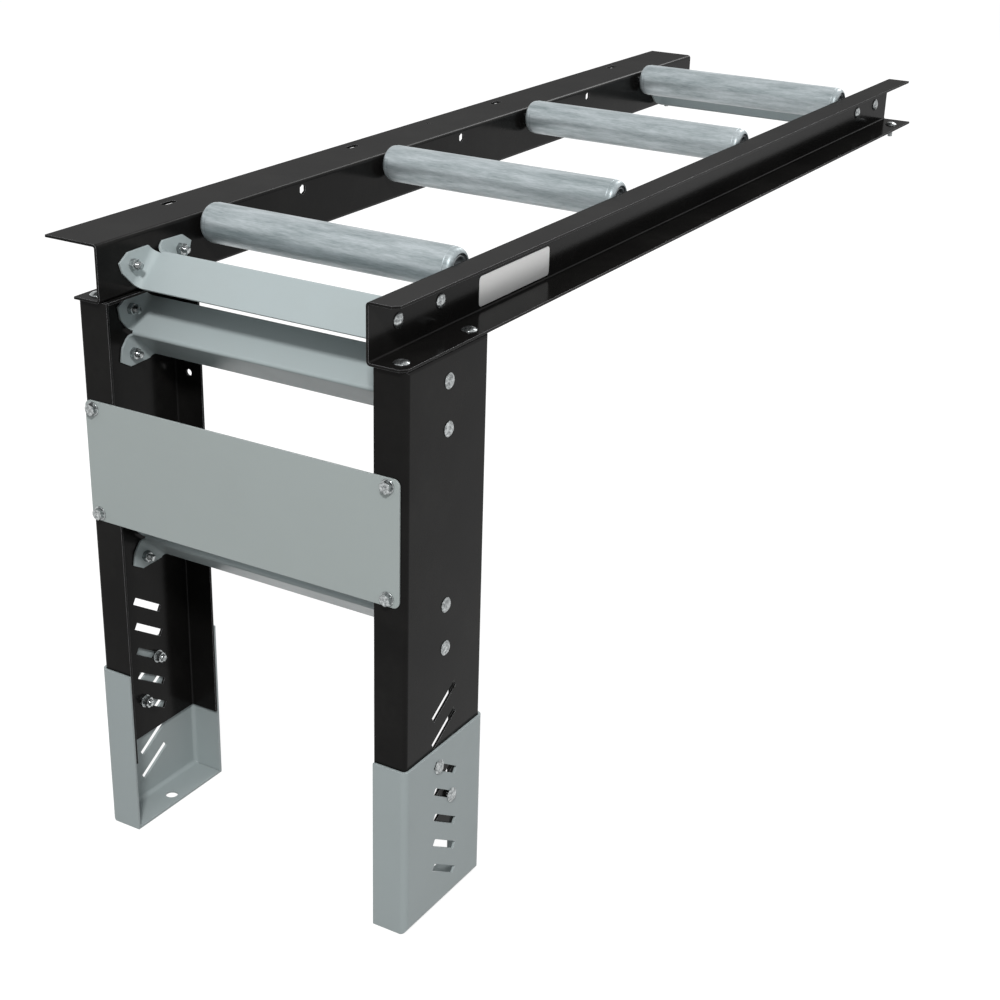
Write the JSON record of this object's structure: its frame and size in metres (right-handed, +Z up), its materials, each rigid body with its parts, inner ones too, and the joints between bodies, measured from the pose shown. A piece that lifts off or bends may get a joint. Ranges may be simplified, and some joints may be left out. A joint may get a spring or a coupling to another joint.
{
  "type": "roller outfeed table",
  "caption": "Steel outfeed table with free rollers between two channel rails, folded crossbars and one pair of legs with feet that adjust for height.",
  "frame": {"origin": "on the floor, under the middle of the whole table's bounding box", "axes": "+X across the table towards the rail with the narrow top flange, +Y along the rails from the legs towards the machine, +Z up"},
  "size_m": [0.4876, 1.527, 0.7711],
  "materials": {
    "black_gloss_paint": "gloss black powder coat",
    "light_grey_paint": "satin light grey powder coat",
    "panel_grey_paint": "satin grey powder coat",
    "blank_label": "blank silver label stock",
    "galvanised_tube": "galvanised, faintly mottled",
    "pressed_steel": "zinc-plated pressed steel",
    "polished_balls": "polished",
    "bare_steel": "drawn hexagon bar",
    "zinc_plate": "bright zinc plate"
  },
  "bodies": {
    "frame": {"left_rail": "black_gloss_paint", "right_rail": "black_gloss_paint", "near_rail_crossbar": "light_grey_paint", "far_rail_crossbar": "light_grey_paint", "upper_leg_crossbar": "light_grey_paint", "lower_leg_crossbar": "light_grey_paint", "left_leg": "black_gloss_paint", "right_leg": "black_gloss_paint", "front_panel": "panel_grey_paint", "blank_label_plate": "blank_label", "bearing_inner_races": "bare_steel", "axle_1": "bare_steel", "axle_2": "bare_steel", "axle_3": "bare_steel", "axle_4": "bare_steel", "rail_crossbar_bolts": "zinc_plate", "rail_crossbar_nuts": "zinc_plate", "leg_crossbar_bolts": "zinc_plate", "leg_crossbar_nuts": "zinc_plate", "leg_top_bolts": "zinc_plate", "leg_top_nuts": "zinc_plate", "far_end_bolts": "zinc_plate", "far_end_nuts": "zinc_plate", "panel_screws": "zinc_plate", "panel_screw_washers": "zinc_plate", "panel_screw_nuts": "zinc_plate"},
    "roller_1": {"roller_1_tube": "galvanised_tube", "roller_1_bearing_cups": "pressed_steel", "roller_1_bearing_balls": "polished_balls"},
    "roller_2": {"roller_2_tube": "galvanised_tube", "roller_2_bearing_cups": "pressed_steel", "roller_2_bearing_balls": "polished_balls"},
    "roller_3": {"roller_3_tube": "galvanised_tube", "roller_3_bearing_cups": "pressed_steel", "roller_3_bearing_balls": "polished_balls"},
    "roller_4": {"roller_4_tube": "galvanised_tube", "roller_4_bearing_cups": "pressed_steel", "roller_4_bearing_balls": "polished_balls"},
    "left_foot": {"left_foot": "light_grey_paint"},
    "left_clamp_bolts": {"left_foot_bolts": "zinc_plate", "left_foot_washers": "zinc_plate", "left_foot_nuts": "zinc_plate"},
    "right_foot": {"right_foot": "light_grey_paint"},
    "right_clamp_bolts": {"right_foot_bolts": "zinc_plate", "right_foot_washers": "zinc_plate", "right_foot_nuts": "zinc_plate"}
  },
  "joints": [
    {"name": "roller_1_spin", "type": "hinge", "parent": "frame", "child": "roller_1", "pos_m": [0.0102, -0.57005, 0.747], "axis": [1, 0, 0], "continuous": true},
    {"name": "roller_2_spin", "type": "hinge", "parent": "frame", "child": "roller_2", "pos_m": [0.0102, -0.18905, 0.747], "axis": [1, 0, 0], "continuous": true},
    {"name": "roller_3_spin", "type": "hinge", "parent": "frame", "child": "roller_3", "pos_m": [0.0102, 0.19195, 0.747], "axis": [1, 0, 0], "continuous": true},
    {"name": "roller_4_spin", "type": "hinge", "parent": "frame", "child": "roller_4", "pos_m": [0.0102, 0.57295, 0.747], "axis": [1, 0, 0], "continuous": true},
    {"name": "left_foot_slide", "type": "slide", "parent": "frame", "child": "left_foot", "axis": [0, 0, 1], "range_m": [-0.006, 0.006]},
    {"name": "left_clamp_slide", "type": "slide", "parent": "frame", "child": "left_clamp_bolts", "axis": [0, -0.848, 0.5299], "range_m": [-0.0058, 0.0058]},
    {"name": "right_foot_slide", "type": "slide", "parent": "frame", "child": "right_foot", "axis": [0, 0, 1], "range_m": [-0.006, 0.006]},
    {"name": "right_clamp_slide", "type": "slide", "parent": "frame", "child": "right_clamp_bolts", "axis": [0, 0.848, 0.5299], "range_m": [-0.0058, 0.0058]}
  ],
  "couplings": [
    {"joint": "left_clamp_slide", "follows": "left_foot_slide", "ratio": 0.94354},
    {"joint": "right_clamp_slide", "follows": "right_foot_slide", "ratio": 0.94354}
  ]
}
